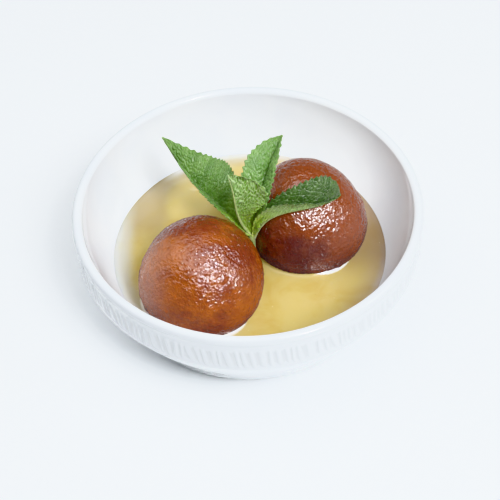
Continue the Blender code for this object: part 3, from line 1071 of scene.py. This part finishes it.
def stem_mesh():
    """The stem, its swollen joint and the leaves' midribs, which stand out under the leaves."""
    bm = bmesh.new()
    stations = ((0.0, 0.62), (0.25, 0.72), (0.6, 0.82), (0.85, 1.0))
    stations += ((0.95, 1.2), (1.04, 1.2), (1.14, 0.8), (1.2, 0.3))
    points = [(STEM_FOOT + (STEM_TOP - STEM_FOOT) * share) * MM for share, _ in stations]
    tube(bm, points, [radius * MM for _, radius in stations])
    for leaf in LEAVES.values():
        points = [(STEM_TOP - Vector((0, 0, 0.5))) * MM]
        radii = [0.7 * MM]
        for step in range(33):
            amount = 0.97 * step / 32
            rib, _, upward = leaf_place(leaf, amount)
            radius = 0.48 * (1 - amount) ** 0.8 + 0.09
            points.append((rib - upward * (0.55 * radius)) * MM)
            radii.append(radius * MM)
        tube(bm, points, radii)
    bmesh.ops.recalc_face_normals(bm, faces=bm.faces)
    return bm


def stem_finish():
    material, tree, shader = new_finish("mint_stem", (0.30, 0.42, 0.12), 0.4, Sheen_Weight=0.3)
    place = object_place(tree)
    streak = noise(place, 1.2 * MM, 3.0, 0.6)
    colour = mix_colours(smooth_step(streak, 0.35, 0.7), (0.40, 0.46, 0.19), (0.24, 0.34, 0.09))
    tree.links.new(colour, shader.inputs["Base Color"])
    add_bump(tree, shader, streak, 0.1 * MM, 0.5)
    return material


class DESSERT_OT_mint(bpy.types.Operator):
    """Makes the sprig of mint: a stem with its midribs, and four folded leaves"""

    bl_idname = "dessert.mint"
    bl_label = "Mint"

    def execute(self, context):
        settings = context.scene.mint_settings
        group = leaf_group(settings.vein_pitch)
        tree = leaf_relief_tree()
        for name, leaf in LEAVES.items():
            # Each leaf's shares scale its colours, holding painted light and shade as well as its own tone.
            tone = scaled(settings.face, leaf["tone"])
            face = leaf_finish("face_" + name, group, tone, settings.vein, 0.18, 0.10, 0.14 * MM)
            tone = scaled(settings.underside, leaf["under"])
            under = leaf_finish(
                "underside_" + name, group, tone, settings.vein, 0.4, leaf["net"], -0.14 * MM
            )
            blade = make_piece("mint_leaf_" + name, leaf_mesh(leaf, settings.tooth_pitch), face)
            relief = leaf["relief"] * MM
            run_tree(blade, tree, Finish=face, Puff=0.22 * relief, Crinkle=0.34 * relief,
                     **{"Vein Pitch": settings.vein_pitch})
            blade.data.materials.append(under)
            shell = blade.modifiers.new("thickness", "SOLIDIFY")
            shell.thickness = settings.thickness
            shell.offset = -1.0
            shell.material_offset = 1
            hand_over(blade, "mint", "mint_sprig")
        stem = make_piece("mint_stem", stem_mesh(), stem_finish())
        hand_over(stem, "mint", "mint_sprig")
        return {"FINISHED"}


# ---- the stage


def look_at(eye, aim, roll):
    """The matrix of a camera or lamp at a place that looks at an aim, turned about its view."""
    forward = (aim - eye).normalized()
    turn = forward.to_track_quat("-Z", "Y").to_matrix().to_4x4()
    return Matrix.Translation(eye) @ turn @ Matrix.Rotation(-roll, 4, "Z")


def add_camera(settings):
    data = bpy.data.cameras.new("camera")
    data.lens = settings.lens
    data.sensor_width = 36.0
    data.clip_start = 0.01
    camera = add_object("camera", data)
    aim = Vector((0.0002, -0.0219, RIM_CENTRE[1]))
    back = Vector((0.0, -math.cos(settings.camera_elevation), math.sin(settings.camera_elevation)))
    camera.matrix_world = look_at(aim + back * settings.camera_distance, aim, settings.camera_roll)
    bpy.context.scene.camera = camera


def add_lamp(name, direction, distance, size, power, colour, shines=True, colours=True):
    """A round soft light; one that doesn't shine or doesn't colour is left out of that part of the light."""
    data = bpy.data.lights.new(name, "AREA")
    data.shape = "DISK"
    data.size = size
    data.energy = power
    data.color = colour
    lamp = add_object(name, data)
    lamp.visible_glossy = shines
    lamp.visible_diffuse = colours
    aim = Vector((0.0, 0.0, 20.0 * MM))
    lamp.matrix_world = look_at(aim + Vector(direction).normalized() * distance, aim, 0.0)


def floor_finish():
    material, tree, shader = new_finish("pale_floor", (0.92, 0.93, 0.94), 0.55)
    place = object_place(tree)
    grain = noise(place, 3.0 * MM, 3.0)
    colour = mix_colours(grain, (0.93, 0.94, 0.95), (0.90, 0.915, 0.93))
    tree.links.new(colour, shader.inputs["Base Color"])
    add_bump(tree, shader, grain, 0.05 * MM, 0.2)
    return material


class DESSERT_OT_stage(bpy.types.Operator):
    """Makes the floor, the soft lights and the camera"""

    bl_idname = "dessert.stage"
    bl_label = "Stage"

    def execute(self, context):
        settings = context.scene.stage_settings
        bm = bmesh.new()
        bmesh.ops.create_grid(bm, x_segments=8, y_segments=8, size=3.0)
        floor = make_piece("floor", bm, floor_finish())
        world = bpy.data.worlds.new("studio")
        world.use_nodes = True
        sky = world.node_tree.nodes["Background"]
        sky.inputs["Color"].default_value = (0.92, 0.97, 1.0, 1.0)
        sky.inputs["Strength"].default_value = settings.sky_power
        context.scene.world = world
        tint = tuple(settings.light_tint)
        add_lamp("key", (0.38, -0.52, 0.76), 1.0, 0.42, settings.key_power, tint, shines=False)
        add_lamp("sparkle", (0.37, -0.52, 0.77), 1.0, 0.12, settings.sparkle_power, tint, colours=False)
        add_lamp("side", (0.80, -0.18, 0.55), 1.0, 0.30, settings.side_power, tint)
        add_lamp("front_fill", (0.33, -0.47, 0.82), 1.0, 0.36, 0.30 * settings.fill_power, tint)
        add_lamp("back_fill", (-0.75, 0.35, 0.56), 1.3, 1.40, 0.36 * settings.fill_power, tint)
        add_lamp("top_fill", (-0.10, -0.05, 1.0), 1.3, 1.60, settings.fill_power, tint)
        add_camera(settings)
        context.scene.view_settings.view_transform = "Khronos PBR Neutral"
        return {"FINISHED"}


class DESSERT_PT_panel(bpy.types.Panel):
    """Lists the pieces and their settings"""

    bl_label = "Gulab jamun bowl"
    bl_idname = "DESSERT_PT_panel"
    bl_space_type = "VIEW_3D"
    bl_region_type = "UI"
    bl_category = "Dessert"

    def draw(self, context):
        for name, (group, operator) in SETTINGS.items():
            box = self.layout.box()
            box.operator(operator.bl_idname)
            for key in group.__annotations__:
                box.prop(getattr(context.scene, name), key)


# Each group of settings with the operator that uses it.
SETTINGS = {
    "bowl_settings": (BowlSettings, DESSERT_OT_bowl),
    "ball_settings": (BallSettings, DESSERT_OT_balls),
    "syrup_settings": (SyrupSettings, DESSERT_OT_syrup),
    "mint_settings": (MintSettings, DESSERT_OT_mint),
    "stage_settings": (StageSettings, DESSERT_OT_stage),
}
CLASSES = tuple(one for pair in SETTINGS.values() for one in pair) + (DESSERT_PT_panel,)


def register():
    for one in CLASSES:
        bpy.utils.register_class(one)
    for name, (group, _) in SETTINGS.items():
        setattr(bpy.types.Scene, name, PointerProperty(type=group))


def unregister():
    for name in SETTINGS:
        delattr(bpy.types.Scene, name)
    for one in reversed(CLASSES):
        bpy.utils.unregister_class(one)


def main():
    register()
    bpy.ops.dessert.bowl()
    bpy.ops.dessert.balls()
    bpy.ops.dessert.syrup()
    bpy.ops.dessert.mint()
    bpy.ops.dessert.stage()


if __name__ == "__main__":
    main()
